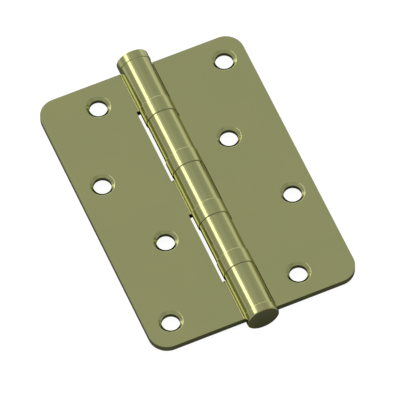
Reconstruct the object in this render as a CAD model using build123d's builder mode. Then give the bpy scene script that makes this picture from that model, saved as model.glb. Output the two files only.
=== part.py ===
"""Ball bearing butt hinge with rounded corners and a ring bearing in each gap of its barrel.

Millimetres. The hinge lies open flat with its countersunk faces up (+Z), the barrel runs along Y
with the pin's head at +Y, and the origin is the middle of the barrel's axis.
"""
import os
from math import acos, atan2, cos, degrees, radians, sin, sqrt

from build123d import *

os.makedirs("parts", exist_ok=True)

# leaves
LEAF_LENGTH = 100.0      # along the barrel
LEFT_REACH = 35.8        # from the barrel's axis to the left leaf's free edge
RIGHT_REACH = 35.4       # and to the right leaf's
SHEET = 2.5              # thickness of the pressed sheet
CORNER_R = 6.3           # the two free corners of each leaf
AXIS_LIFT = 1.0          # how far the axis stands in front of the countersunk faces
BEND_R = 0.3             # inside radius where the sheet turns up into a knuckle
SEAM = 0.2               # gap left where the rolled end comes back to the sheet
RELIEF = 0.6             # how much further each cut-out goes into a neck than its knuckle ends

# screw holes, countersunk on the front face, in a zigzag of four rows
HOLE_R = 3.0
SINK_R = 4.05
SINK_DEPTH = 0.88
SINK_EDGE_R = 0.3        # rounding of the countersink's rim
HOLE_TOP = 8.5           # first row to the leaf's upper end
HOLE_BOTTOM = 8.8        # last row to its lower end
UPPER_PITCH = 27.4       # first row to the second
LOWER_PITCH = 27.85      # third row to the last
ZIGZAG = 10.3            # between the near and the far column of a leaf
LEFT_EDGE = 8.7          # far column to the left leaf's free edge
RIGHT_EDGE = 7.8         # far column to the right leaf's free edge

# pin and barrel
PIN_R = 2.75
PIN_CLEAR = 0.05         # running clearance of the pin in its bore
PIN_TIP = 0.4            # bevel of the pin's lower end
CAP_PROUD = 0.2          # how far the head and the lower cap stand out from the knuckles
HEAD_THICK = 3.1
CAP_THICK = 2.85
CAP_EDGE_R = 0.28
STEM_LENGTH = 4.0        # how far the lower cap's stem goes into the last knuckle
STEM_TIP = 0.3           # bevel of that stem
STEM_GAP = 0.5           # between the stem and the pin's end

# the knuckles from the head down, the fifth takes what is left of the leaf's length
KNUCKLE_LENGTHS = [15.95, 15.5, 15.05, 14.2]
BEARING_GAP = 5.85       # from one knuckle to the next

# ring bearings
RING_PROUD = 0.25        # how far a ring stands out from the knuckles
RING_WALL = 0.4
RING_EDGE_R = 0.28
RING_JOINT = 0.12        # open joint between a ring and the knuckle below it
LEFT_NOTCH_CLEAR = 0.75  # from a ring to the edge of the left leaf's cut-outs
RIGHT_NOTCH_CLEAR = 0.35 # and to the right leaf's
SKIRT_CLEAR = 0.08       # lower race inside the ring
BALL_R = 0.6
BALL_COUNT = 12
GROOVE_CLEAR = 0.02      # ball in the races' grooves
RACE_SPACE = 0.7         # between the two races
CAGE_THICK = 0.4
CAGE_CLEAR = 0.25        # cage to the pin and to the ring
POCKET_CLEAR = 0.05      # ball in its pocket

# what follows from those sizes
LEFT, RIGHT = -1, 1
HALF = LEAF_LENGTH / 2
BORE_R = PIN_R + PIN_CLEAR
KNUCKLE_R = BORE_R + SHEET
CAP_R = KNUCKLE_R + CAP_PROUD
RING_R = KNUCKLE_R + RING_PROUD
RING_IN_R = RING_R - RING_WALL
REACH = {LEFT: LEFT_REACH, RIGHT: RIGHT_REACH}
NOTCH_EDGE = {LEFT: RING_R + LEFT_NOTCH_CLEAR, RIGHT: RING_R + RIGHT_NOTCH_CLEAR}
BALL_PITCH_R = (PIN_R + RING_IN_R) / 2
FRONT_Z = -AXIS_LIFT
BACK_Z = FRONT_Z - SHEET
ROWS = [HALF - HOLE_TOP, HALF - HOLE_TOP - UPPER_PITCH,
        LOWER_PITCH + HOLE_BOTTOM - HALF, HOLE_BOTTOM - HALF]
SINK_ANGLE = 2 * degrees(atan2(SINK_R - HOLE_R, SINK_DEPTH))

# the bend between a leaf and a knuckle: its centre, and the angle from it up to the axis
BEND_Z = FRONT_Z + BEND_R
BEND_X = sqrt((KNUCKLE_R + BEND_R) ** 2 - BEND_Z ** 2)
ROOT_ANGLE = degrees(atan2(-BEND_Z, BEND_X))
BEND_OUT_R = BEND_R + SHEET

# angle below the leaf's side at which the rolled end stops, a seam's width off the bend
FROM_AXIS = KNUCKLE_R + BEND_R
OFF_BEND = BEND_OUT_R + SEAM
ROLL_END = ROOT_ANGLE + degrees(
    acos((KNUCKLE_R ** 2 + FROM_AXIS ** 2 - OFF_BEND ** 2) / (2 * KNUCKLE_R * FROM_AXIS)))


def knuckle_spans():
    """Top and bottom of each knuckle along Y, from the head down."""
    spans, top = [], HALF
    for length in KNUCKLE_LENGTHS:
        spans.append((top, top - length))
        top -= length + BEARING_GAP
    return spans + [(top, -HALF)]


KNUCKLES = knuckle_spans()
LEFT_KNUCKLES, RIGHT_KNUCKLES = (0, 2, 4), (1, 3)


def neck_span(index):
    """A neck is narrower than its knuckle by the relief, except at the leaf's own ends."""
    top, bottom = KNUCKLES[index]
    last = len(KNUCKLES) - 1
    return top - (RELIEF if index > 0 else 0), bottom + (RELIEF if index < last else 0)


def across(y):
    """Plane square to the barrel at one station, shapes on it extrude towards the lower cap."""
    return Plane(origin=(0, y, 0), x_dir=(1, 0, 0), z_dir=(0, -1, 0))


def rounded_plate(side):
    """Flat part of a leaf up to its cut-outs, with the two free corners rounded."""
    reach, notch = REACH[side], NOTCH_EDGE[side]
    with BuildSketch(Plane.XY.offset(BACK_Z)) as outline:
        with Locations((side * (reach + notch) / 2, 0)):
            Rectangle(reach - notch, LEAF_LENGTH)
        corners = outline.vertices().sort_by(Axis.X)
        fillet(corners[-2:] if side == RIGHT else corners[:2], CORNER_R)
    extrude(outline.sketch, amount=SHEET)


def neck_and_bend(side, top, bottom):
    """The strip from the cut-outs' edge to the bend, and the bend that meets the knuckle."""
    turn, notch = 90 + ROOT_ANGLE, side * NOTCH_EDGE[side]

    def on_bend(radius, angle):
        x, z = BEND_X - radius * sin(radians(angle)), BEND_Z - radius * cos(radians(angle))
        return side * x, z

    with BuildSketch(across(top)) as section:
        with BuildLine():
            Line((notch, FRONT_Z), on_bend(BEND_R, 0))
            ThreePointArc(on_bend(BEND_R, 0), on_bend(BEND_R, turn / 2), on_bend(BEND_R, turn))
            Line(on_bend(BEND_R, turn), on_bend(BEND_OUT_R, turn))
            ThreePointArc(
                on_bend(BEND_OUT_R, turn), on_bend(BEND_OUT_R, turn / 2), on_bend(BEND_OUT_R, 0))
            Line(on_bend(BEND_OUT_R, 0), (notch, BACK_Z))
            Line((notch, BACK_Z), (notch, FRONT_Z))
        make_face()
    extrude(section.sketch, amount=top - bottom)


def rolled_knuckle(side, top, bottom):
    """The sheet that goes over and round the pin, open at the seam behind the leaf's root."""
    half_way = (ROOT_ANGLE + ROLL_END) / 2 + 180

    def at(radius, angle):
        return side * radius * cos(radians(angle)), -radius * sin(radians(angle))

    with BuildSketch(across(top)) as section:
        with BuildLine():
            ThreePointArc(
                at(KNUCKLE_R, ROOT_ANGLE), at(KNUCKLE_R, half_way), at(KNUCKLE_R, ROLL_END))
            Line(at(KNUCKLE_R, ROLL_END), at(BORE_R, ROLL_END))
            ThreePointArc(at(BORE_R, ROLL_END), at(BORE_R, half_way), at(BORE_R, ROOT_ANGLE))
            Line(at(BORE_R, ROOT_ANGLE), at(KNUCKLE_R, ROOT_ANGLE))
        make_face()
    extrude(section.sketch, amount=top - bottom)


def screw_holes(spots):
    """Countersunk holes with a slightly rounded rim."""
    with Locations(*[(x, y, FRONT_Z) for x, y in spots]):
        CounterSinkHole(HOLE_R, SINK_R, depth=SHEET, counter_sink_angle=SINK_ANGLE)
    circles = edges().filter_by(GeomType.CIRCLE)
    fillet([edge for edge in circles if abs(edge.radius - SINK_R) < SINK_EDGE_R], SINK_EDGE_R)


# left leaf, with the first, third and fifth knuckle
left_far = LEFT_EDGE - LEFT_REACH
left_near = left_far + ZIGZAG
with BuildPart() as left_leaf:
    rounded_plate(LEFT)
    for index in LEFT_KNUCKLES:
        neck_and_bend(LEFT, *neck_span(index))
        rolled_knuckle(LEFT, *KNUCKLES[index])
    screw_holes(zip([left_near, left_far] * 2, ROWS))
left_leaf.part.label = "left_leaf"
export_step(left_leaf.part, "parts/left_leaf.step")

# right leaf, with the second and fourth knuckle
right_far = RIGHT_REACH - RIGHT_EDGE
right_near = right_far - ZIGZAG
with BuildPart() as right_leaf:
    rounded_plate(RIGHT)
    for index in RIGHT_KNUCKLES:
        neck_and_bend(RIGHT, *neck_span(index))
        rolled_knuckle(RIGHT, *KNUCKLES[index])
    screw_holes(zip([right_far, right_near] * 2, ROWS))
right_leaf.part.label = "right_leaf"
export_step(right_leaf.part, "parts/right_leaf.step")

# pin with its flat head, down to just above the lower cap's stem
with BuildPart() as hinge_pin:
    with BuildSketch(across(HALF)):
        Circle(PIN_R)
    extrude(amount=LEAF_LENGTH - STEM_LENGTH - STEM_GAP)
    chamfer(hinge_pin.edges().sort_by(Axis.Y)[0], PIN_TIP)
    with BuildSketch(across(HALF + HEAD_THICK)):
        Circle(CAP_R)
    extrude(amount=HEAD_THICK)
    rims = hinge_pin.edges().filter_by(GeomType.CIRCLE)
    fillet([edge for edge in rims if edge.radius > BORE_R], CAP_EDGE_R)
hinge_pin.part.label = "hinge_pin"
export_step(hinge_pin.part, "parts/hinge_pin.step")

# lower cap: a flat button with a stem pressed into the last knuckle's bore
with BuildPart() as lower_cap:
    with BuildSketch(across(-HALF)):
        Circle(CAP_R)
    extrude(amount=CAP_THICK)
    fillet(lower_cap.edges().filter_by(GeomType.CIRCLE), CAP_EDGE_R)
    with BuildSketch(across(-HALF + STEM_LENGTH)):
        Circle(BORE_R)
    extrude(amount=STEM_LENGTH)
    chamfer(lower_cap.edges().sort_by(Axis.Y)[-1], STEM_TIP)
lower_cap.part.label = "lower_cap"
export_step(lower_cap.part, "parts/lower_cap.step")


def washer(outer, inner, top, bottom):
    """Plain ring about the barrel's axis."""
    with BuildSketch(across(top)) as section:
        Circle(outer)
        Circle(inner, mode=Mode.SUBTRACT)
    extrude(section.sketch, amount=top - bottom)


def ball_groove(y):
    """Round track for the balls, cut out of a race."""
    with BuildSketch(Plane.XY) as section:
        with Locations((BALL_PITCH_R, y)):
            Circle(BALL_R + GROOVE_CLEAR)
    revolve(section.sketch, axis=Axis.Y, mode=Mode.SUBTRACT)


# one bearing in each gap between two knuckles, numbered from the head down
for number in range(1, len(KNUCKLES)):
    gap_top = KNUCKLES[number - 1][1]
    gap_bottom = KNUCKLES[number][0]
    balls_y = (gap_top + gap_bottom) / 2

    # outer ring, tight under the knuckle above and just clear of the one below
    with BuildPart() as ring:
        washer(RING_R, RING_IN_R, gap_top, gap_bottom + RING_JOINT)
        circles = ring.edges().filter_by(GeomType.CIRCLE)
        fillet([edge for edge in circles if edge.radius > RING_R - RING_WALL / 2], RING_EDGE_R)
    ring.part.label = f"bearing_{number}_ring"
    export_step(ring.part, f"parts/bearing_{number}_ring.step")

    # upper race, held in the ring
    with BuildPart() as upper_race:
        washer(RING_IN_R, BORE_R, gap_top, balls_y + RACE_SPACE / 2)
        ball_groove(balls_y)
    upper_race.part.label = f"bearing_{number}_upper_race"
    export_step(upper_race.part, f"parts/bearing_{number}_upper_race.step")

    # lower race, standing on the knuckle below inside the ring's skirt
    with BuildPart() as lower_race:
        washer(RING_IN_R - SKIRT_CLEAR, BORE_R, balls_y - RACE_SPACE / 2, gap_bottom)
        ball_groove(balls_y)
    lower_race.part.label = f"bearing_{number}_lower_race"
    export_step(lower_race.part, f"parts/bearing_{number}_lower_race.step")

    # cage with a pocket for every ball
    with BuildPart() as cage:
        washer(RING_IN_R - CAGE_CLEAR, PIN_R + CAGE_CLEAR,
               balls_y + CAGE_THICK / 2, balls_y - CAGE_THICK / 2)
        with BuildSketch(across(balls_y + CAGE_THICK / 2)):
            with PolarLocations(BALL_PITCH_R, BALL_COUNT):
                Circle(BALL_R + POCKET_CLEAR)
        extrude(amount=CAGE_THICK, mode=Mode.SUBTRACT)
    cage.part.label = f"bearing_{number}_cage"
    export_step(cage.part, f"parts/bearing_{number}_cage.step")

    # the balls, one group of separate solids
    with BuildPart() as balls:
        with Locations(across(balls_y)):
            with PolarLocations(BALL_PITCH_R, BALL_COUNT):
                Sphere(BALL_R)
    balls.part.label = f"bearing_{number}_balls"
    export_step(balls.part, f"parts/bearing_{number}_balls.step")
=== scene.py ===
"""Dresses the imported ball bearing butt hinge: olive brass plating on what shows, bare steel and
brass inside the bearings, a pale floor, soft studio light, and a camera at the photograph's viewing
angle. Lengths are metres, and colours are linear."""

import math

import bpy
from mathutils import Matrix, Vector


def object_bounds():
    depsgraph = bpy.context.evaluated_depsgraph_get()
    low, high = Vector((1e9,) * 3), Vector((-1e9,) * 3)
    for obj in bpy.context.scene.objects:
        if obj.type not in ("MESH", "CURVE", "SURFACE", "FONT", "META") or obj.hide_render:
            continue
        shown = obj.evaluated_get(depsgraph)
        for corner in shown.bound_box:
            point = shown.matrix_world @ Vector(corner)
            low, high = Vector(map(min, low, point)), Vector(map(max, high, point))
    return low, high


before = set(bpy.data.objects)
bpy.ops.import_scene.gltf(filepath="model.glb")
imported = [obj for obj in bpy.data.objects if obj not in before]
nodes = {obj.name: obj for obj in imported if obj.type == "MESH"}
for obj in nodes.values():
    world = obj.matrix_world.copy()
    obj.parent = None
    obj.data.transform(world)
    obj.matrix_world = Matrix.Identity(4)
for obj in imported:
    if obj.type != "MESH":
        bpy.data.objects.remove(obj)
cad_low, cad_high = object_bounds()
MM = 0.001

# Colours of the plating and of the bearings' hidden parts.
PLATING = (0.374, 0.386, 0.176)
STEEL = (0.52, 0.52, 0.51)
CAGE = (0.55, 0.40, 0.16)

# How metal is tinted where it is seen edge-on: bare metal not at all, the plating a little warmer.
NO_TINT = (1.0, 1.0, 1.0)
GRAZING = (1.0, 0.96, 0.88)

# Sizes of the satin marks along x, y and z.
BRUSHED = (0.12 * MM, 2.0 * MM, 0.12 * MM)
TURNED = (0.15 * MM, 0.15 * MM, 0.15 * MM)
GROUND = (0.2 * MM, 0.2 * MM, 0.2 * MM)

# How far broad clouds and the satin marks move tone and roughness, as shares of them.
CLOUD_TONE = 0.02
MARK_TONE = 0.015
ROUGH_SPREAD = 0.05

# The parts of the two noises' ranges that count.
CLOUD_RANGE = (0.3, 0.7)
MARK_RANGE = (0.2, 0.8)

# The clouds' scale, and how strong and how deep the marks are in the bump.
CLOUD_SCALE = 45.0
MARK_STRENGTH = 0.05
MARK_DEPTH = 0.01 * MM

# The leaves end at this distance from the middle, in y, and the barrel at this one, in x.
LEAF_END = 50 * MM
BARREL_HALF = 5.5 * MM

# The floor: its half size, its paper's two tones and the scale of the fibres between them.
FLOOR_HALF = 6.0
PAPER = (0.195, 0.195, 0.195)
PALE_FIBRE = (0.21, 0.21, 0.21)
FIBRE_SCALE = 300.0

# The white that the floor gives off itself, to the camera and to metal and glass. The second
# fades in between these two distances from the hinge's outline: a painted shadow round the hinge
# in what metal and glass see.
CAMERA_WHITE = 0.93
MIRRORED_WHITE = 0.72
PAINTED_SHADOW_START = 5 * MM
PAINTED_SHADOW_END = 14 * MM

# The room's brightness along each coordinate of the direction, as (place, strength). The walls
# are a product of two such curves, and the band behind the hinge of three.
WALLS_Y = [(-1.0, 0.62), (-0.5, 0.71), (-0.1, 0.82), (0.25, 0.79), (0.6, 0.79), (1.0, 0.79)]
WALLS_X = [
    (-1.0, 1.0), (-0.88, 0.79), (-0.75, 0.81), (-0.6, 0.84), (-0.1, 0.94), (0.08, 0.94),
    (0.3, 0.82), (0.62, 0.79), (0.8, 0.91), (0.88, 0.93), (1.0, 0.64),
]
BAND_Y = [(-1.0, 0.0), (0.5, 0.0), (0.7, 0.5), (0.84, 2.0), (0.94, 2.2), (1.0, 1.6)]
BAND_X = [(-1.0, 0.3), (-0.45, 0.58), (-0.1, 1.0), (0.15, 1.0), (0.4, 0.8), (1.0, 0.7)]
BAND_Z = [(-1.0, 1.0), (0.36, 1.0), (0.5, 0.15), (0.6, 0.0), (1.0, 0.0)]

# The camera, fitted to the outlines of the leaves and the centres of the holes.
CAMERA_PLACE = (-0.467772, -1.138424, 2.060782)
CAMERA_TURN_DEG = (30.74704, 0.68624, -23.52946)
LENS_MM = 672.98
SENSOR_MM = 36.0


class Nodes:
    """Builds one node tree with short calls."""

    def __init__(self, tree):
        self.tree = tree
        self.tree.nodes.clear()

    def add(self, kind, **values):
        """A node of that kind; each value goes to a property if it has that name, else to a
        socket."""
        node = self.tree.nodes.new(kind)
        for name, value in values.items():
            if hasattr(node, name):
                setattr(node, name, value)
            else:
                node.inputs[name.replace("_", " ")].default_value = value
        return node

    def link(self, start, end):
        self.tree.links.new(start, end)

    def math(self, operation, first, second=None):
        """A Math node on sockets or numbers; returns its output."""
        node = self.tree.nodes.new("ShaderNodeMath")
        node.operation = operation
        for slot, value in enumerate((first, second)):
            if value is None:
                continue
            if isinstance(value, (int, float)):
                node.inputs[slot].default_value = value
            else:
                self.link(value, node.inputs[slot])
        return node.outputs[0]

    def ramp(self, value, low, high, to_low, to_high):
        """Value from low..high mapped smoothly to to_low..to_high, clamped."""
        node = self.add(
            "ShaderNodeMapRange", interpolation_type="SMOOTHSTEP",
            From_Min=low, From_Max=high, To_Min=to_low, To_Max=to_high,
        )
        self.link(value, node.inputs["Value"])
        return node.outputs["Result"]

    def spread(self, value, low, high, share):
        """Value from low..high mapped smoothly to 1 less that share .. 1 more that share."""
        return self.ramp(value, low, high, 1.0 - share, 1.0 + share)

    def mix(self, factor, first, second):
        """A mix of two RGB triples by a socket; returns its output."""
        node = self.add("ShaderNodeMix", data_type="RGBA")
        factor_in, first_in, second_in = node.inputs[0], node.inputs[6], node.inputs[7]
        self.link(factor, factor_in)
        first_in.default_value = (*first, 1.0)
        second_in.default_value = (*second, 1.0)
        return node.outputs[2]


def new_material(name):
    """A material and the builder of its empty node tree."""
    material = bpy.data.materials.new(name)
    material.use_nodes = True
    return material, Nodes(material.node_tree)


def metal(name, colour, roughness, grain, grazing=NO_TINT):
    """Plated or bare metal: uneven tone, fine satin grain in roughness and bump.

    grain is the size of the satin marks along x, y and z, and grazing tints the metal where it is
    seen edge-on."""
    material, n = new_material(name)
    out = n.add("ShaderNodeOutputMaterial")
    shader = n.add("ShaderNodeBsdfPrincipled", Metallic=1.0, Specular_Tint=(*grazing, 1.0))
    n.link(shader.outputs["BSDF"], out.inputs["Surface"])
    where = n.add("ShaderNodeTexCoord")

    cloud = n.add("ShaderNodeTexNoise", Scale=CLOUD_SCALE, Detail=3.0, Roughness=0.5)
    n.link(where.outputs["Object"], cloud.inputs["Vector"])
    stretch = n.add("ShaderNodeMapping", Scale=[1.0 / size for size in grain])
    n.link(where.outputs["Object"], stretch.inputs["Vector"])
    marks = n.add("ShaderNodeTexNoise", Scale=1.0, Detail=2.0, Roughness=0.6)
    n.link(stretch.outputs["Vector"], marks.inputs["Vector"])

    tone = n.math(
        "MULTIPLY",
        n.spread(cloud.outputs["Fac"], *CLOUD_RANGE, CLOUD_TONE),
        n.spread(marks.outputs["Fac"], *MARK_RANGE, MARK_TONE),
    )
    toned = n.add("ShaderNodeHueSaturation", Color=(*colour, 1.0))
    n.link(tone, toned.inputs["Value"])
    n.link(toned.outputs["Color"], shader.inputs["Base Color"])

    least, most = roughness * (1.0 - ROUGH_SPREAD), roughness * (1.0 + ROUGH_SPREAD)
    rough = n.math(
        "MULTIPLY",
        n.ramp(marks.outputs["Fac"], *MARK_RANGE, least, most),
        n.spread(cloud.outputs["Fac"], *CLOUD_RANGE, ROUGH_SPREAD),
    )
    n.link(rough, shader.inputs["Roughness"])

    bump = n.add("ShaderNodeBump", Strength=MARK_STRENGTH, Distance=MARK_DEPTH)
    n.link(marks.outputs["Fac"], bump.inputs["Height"])
    n.link(bump.outputs["Normal"], shader.inputs["Normal"])
    return material


leaf_finish = metal("leaf_plating", PLATING, roughness=0.13, grain=BRUSHED, grazing=GRAZING)
ring_finish = metal("ring_plating", PLATING, roughness=0.15, grain=TURNED, grazing=GRAZING)
pin_finish = metal("pin_plating", PLATING, roughness=0.15, grain=TURNED, grazing=GRAZING)
steel_finish = metal("bearing_steel", STEEL, roughness=0.18, grain=GROUND)
cage_finish = metal("cage_brass", CAGE, roughness=0.35, grain=GROUND)


def dress(node, finish):
    """Gives a CAD node its finish, in its only material slot."""
    mesh = nodes[node].data
    mesh.materials.clear()
    mesh.materials.append(finish)


for leaf in ("left_leaf", "right_leaf"):
    dress(leaf, leaf_finish)
for turned in ("hinge_pin", "lower_cap"):
    dress(turned, pin_finish)
for number in range(1, 5):
    bearing = f"bearing_{number}_"
    dress(bearing + "ring", ring_finish)
    for steel_part in ("upper_race", "lower_race", "balls"):
        dress(bearing + steel_part, steel_finish)
    dress(bearing + "cage", cage_finish)


def floor_material():
    """Pale paper. Part of its white is its own, so that the shadow stays light. Metal and glass
    see such a white too, but it fades out close to the hinge: a painted shadow, dark where the
    hinge's own shadow would fall on the floor."""
    material, n = new_material("floor_paper")
    out = n.add("ShaderNodeOutputMaterial")
    paper = n.add("ShaderNodeBsdfDiffuse")
    where = n.add("ShaderNodeTexCoord")
    fibre = n.add("ShaderNodeTexNoise", Scale=FIBRE_SCALE, Detail=3.0)
    n.link(where.outputs["Object"], fibre.inputs["Vector"])
    n.link(n.mix(fibre.outputs["Fac"], PAPER, PALE_FIBRE), paper.inputs["Color"])

    place = n.add("ShaderNodeSeparateXYZ")
    n.link(where.outputs["Object"], place.inputs[0])

    def beyond(axis, half):
        """How far the place lies past that distance from the middle, along that axis."""
        past = n.math("SUBTRACT", n.math("ABSOLUTE", place.outputs[axis]), half)
        return n.math("MAXIMUM", past, 0.0)

    def outside(half_x, half_y):
        """The distance to a rectangle round the middle, and 0 inside it."""
        along = n.math("POWER", beyond("X", half_x), 2.0)
        across = n.math("POWER", beyond("Y", half_y), 2.0)
        return n.math("SQRT", n.math("ADD", along, across))

    plates = outside(cad_high.x, LEAF_END)
    barrel = outside(BARREL_HALF, cad_high.y)
    away = n.math("MINIMUM", plates, barrel)
    # Painted shadow: the white that metal and glass see is made dark near the hinge's outline.
    mirrored_with_painted_shadow = n.ramp(away, PAINTED_SHADOW_START, PAINTED_SHADOW_END, 0.0, MIRRORED_WHITE)

    ray = n.add("ShaderNodeLightPath")
    through = n.math("MAXIMUM", ray.outputs["Is Glossy Ray"], ray.outputs["Is Transmission Ray"])
    to_camera = n.math("MULTIPLY", ray.outputs["Is Camera Ray"], CAMERA_WHITE)
    to_metal = n.math("MULTIPLY", through, mirrored_with_painted_shadow)
    glow = n.add("ShaderNodeEmission")
    n.link(n.math("ADD", to_camera, to_metal), glow.inputs["Strength"])
    both = n.add("ShaderNodeAddShader")
    n.link(paper.outputs["BSDF"], both.inputs[0])
    n.link(glow.outputs["Emission"], both.inputs[1])
    n.link(both.outputs["Shader"], out.inputs["Surface"])
    return material


def floor():
    """A flat floor under the lowest point of the hinge."""
    mesh = bpy.data.meshes.new("floor")
    half, z = FLOOR_HALF, cad_low.z
    corners = [(-half, -half, z), (half, -half, z), (half, half, z), (-half, half, z)]
    mesh.from_pydata(corners, [], [(0, 1, 2, 3)])
    mesh.materials.append(floor_material())
    piece = bpy.data.objects.new("floor", mesh)
    bpy.context.scene.collection.objects.link(piece)


floor()


def lamp(name, turn, lean, width, height, radiance, distance=1.5):
    """A softbox facing the hinge. turn is how far it stands from overhead towards the right leaf,
    about the pin's axis, and lean how far towards the pin's head; width and height are the angles
    that it fills, along turn and along lean, all in degrees. radiance is how bright its face is."""
    turn, lean = math.radians(turn), math.radians(lean)
    level = math.cos(lean)
    towards = Vector((math.sin(turn) * level, math.sin(lean), math.cos(turn) * level))
    across = Vector((math.cos(turn), 0.0, -math.sin(turn)))
    light = bpy.data.lights.new(name, "AREA")
    light.shape = "RECTANGLE"
    light.size = 2 * distance * math.tan(math.radians(width) / 2)
    light.size_y = 2 * distance * math.tan(math.radians(height) / 2)
    light.energy = radiance * math.pi * light.size * light.size_y
    softbox = bpy.data.objects.new(name, light)
    bpy.context.scene.collection.objects.link(softbox)
    facing = Matrix((across, towards.cross(across), towards)).transposed()
    softbox.matrix_world = Matrix.Translation(towards * distance) @ facing.to_4x4()
    softbox.visible_camera = False


# A ray that meets two lamps at one distance counts only one of them, so the skirt round the strip
# stands farther off.
lamp("key_strip", turn=-42, lean=31, width=17.5, height=68, radiance=2.35)
lamp("key_skirt", turn=-38, lean=31, width=34, height=68, radiance=0.3, distance=1.6)
lamp("right_box", turn=90, lean=36, width=38, height=40, radiance=0.4)


def light_room():
    """A grey-white room, a little darker on the camera's side and lighter far right, with a bright
    band low behind the hinge."""
    world = bpy.data.worlds.new("studio")
    bpy.context.scene.world = world
    world.use_nodes = True
    n = Nodes(world.node_tree)
    room = n.add("ShaderNodeBackground", Color=(1.0, 1.0, 1.0, 1.0))
    where = n.add("ShaderNodeTexCoord")
    split = n.add("ShaderNodeSeparateXYZ")
    n.link(where.outputs["Generated"], split.inputs[0])

    def by_place(coordinate, points):
        """A strength that follows that coordinate of the direction through the points."""
        spread = n.add("ShaderNodeMapRange", From_Min=-1.0)
        n.link(split.outputs[coordinate], spread.inputs["Value"])
        curve = n.add("ShaderNodeFloatCurve")
        most = max(strength for place, strength in points)
        shape = curve.mapping.curves[0].points
        while len(shape) < len(points):
            shape.new(0.5, 0.5)
        for point, (place, strength) in zip(shape, points):
            point.location = ((place + 1) / 2, strength / most)
        curve.mapping.update()
        n.link(spread.outputs["Result"], curve.inputs["Value"])
        return n.math("MULTIPLY", curve.outputs["Value"], most)

    walls = n.math("MULTIPLY", by_place("Y", WALLS_Y), by_place("X", WALLS_X))
    behind = n.math("MULTIPLY", by_place("Y", BAND_Y), by_place("X", BAND_X))
    band = n.math("MULTIPLY", behind, by_place("Z", BAND_Z))
    n.link(n.math("ADD", walls, band), room.inputs["Strength"])
    out = n.add("ShaderNodeOutputWorld")
    n.link(room.outputs["Background"], out.inputs["Surface"])


light_room()

# The camera looks from the left and above, far off, so that edges stay nearly parallel.
camera_data = bpy.data.cameras.new("camera")
camera_data.sensor_width = SENSOR_MM
camera_data.lens = LENS_MM
camera = bpy.data.objects.new("camera", camera_data)
bpy.context.scene.collection.objects.link(camera)
camera.location = CAMERA_PLACE
camera.rotation_euler = [math.radians(angle) for angle in CAMERA_TURN_DEG]
bpy.context.scene.camera = camera

bpy.context.scene.view_settings.view_transform = "Standard"
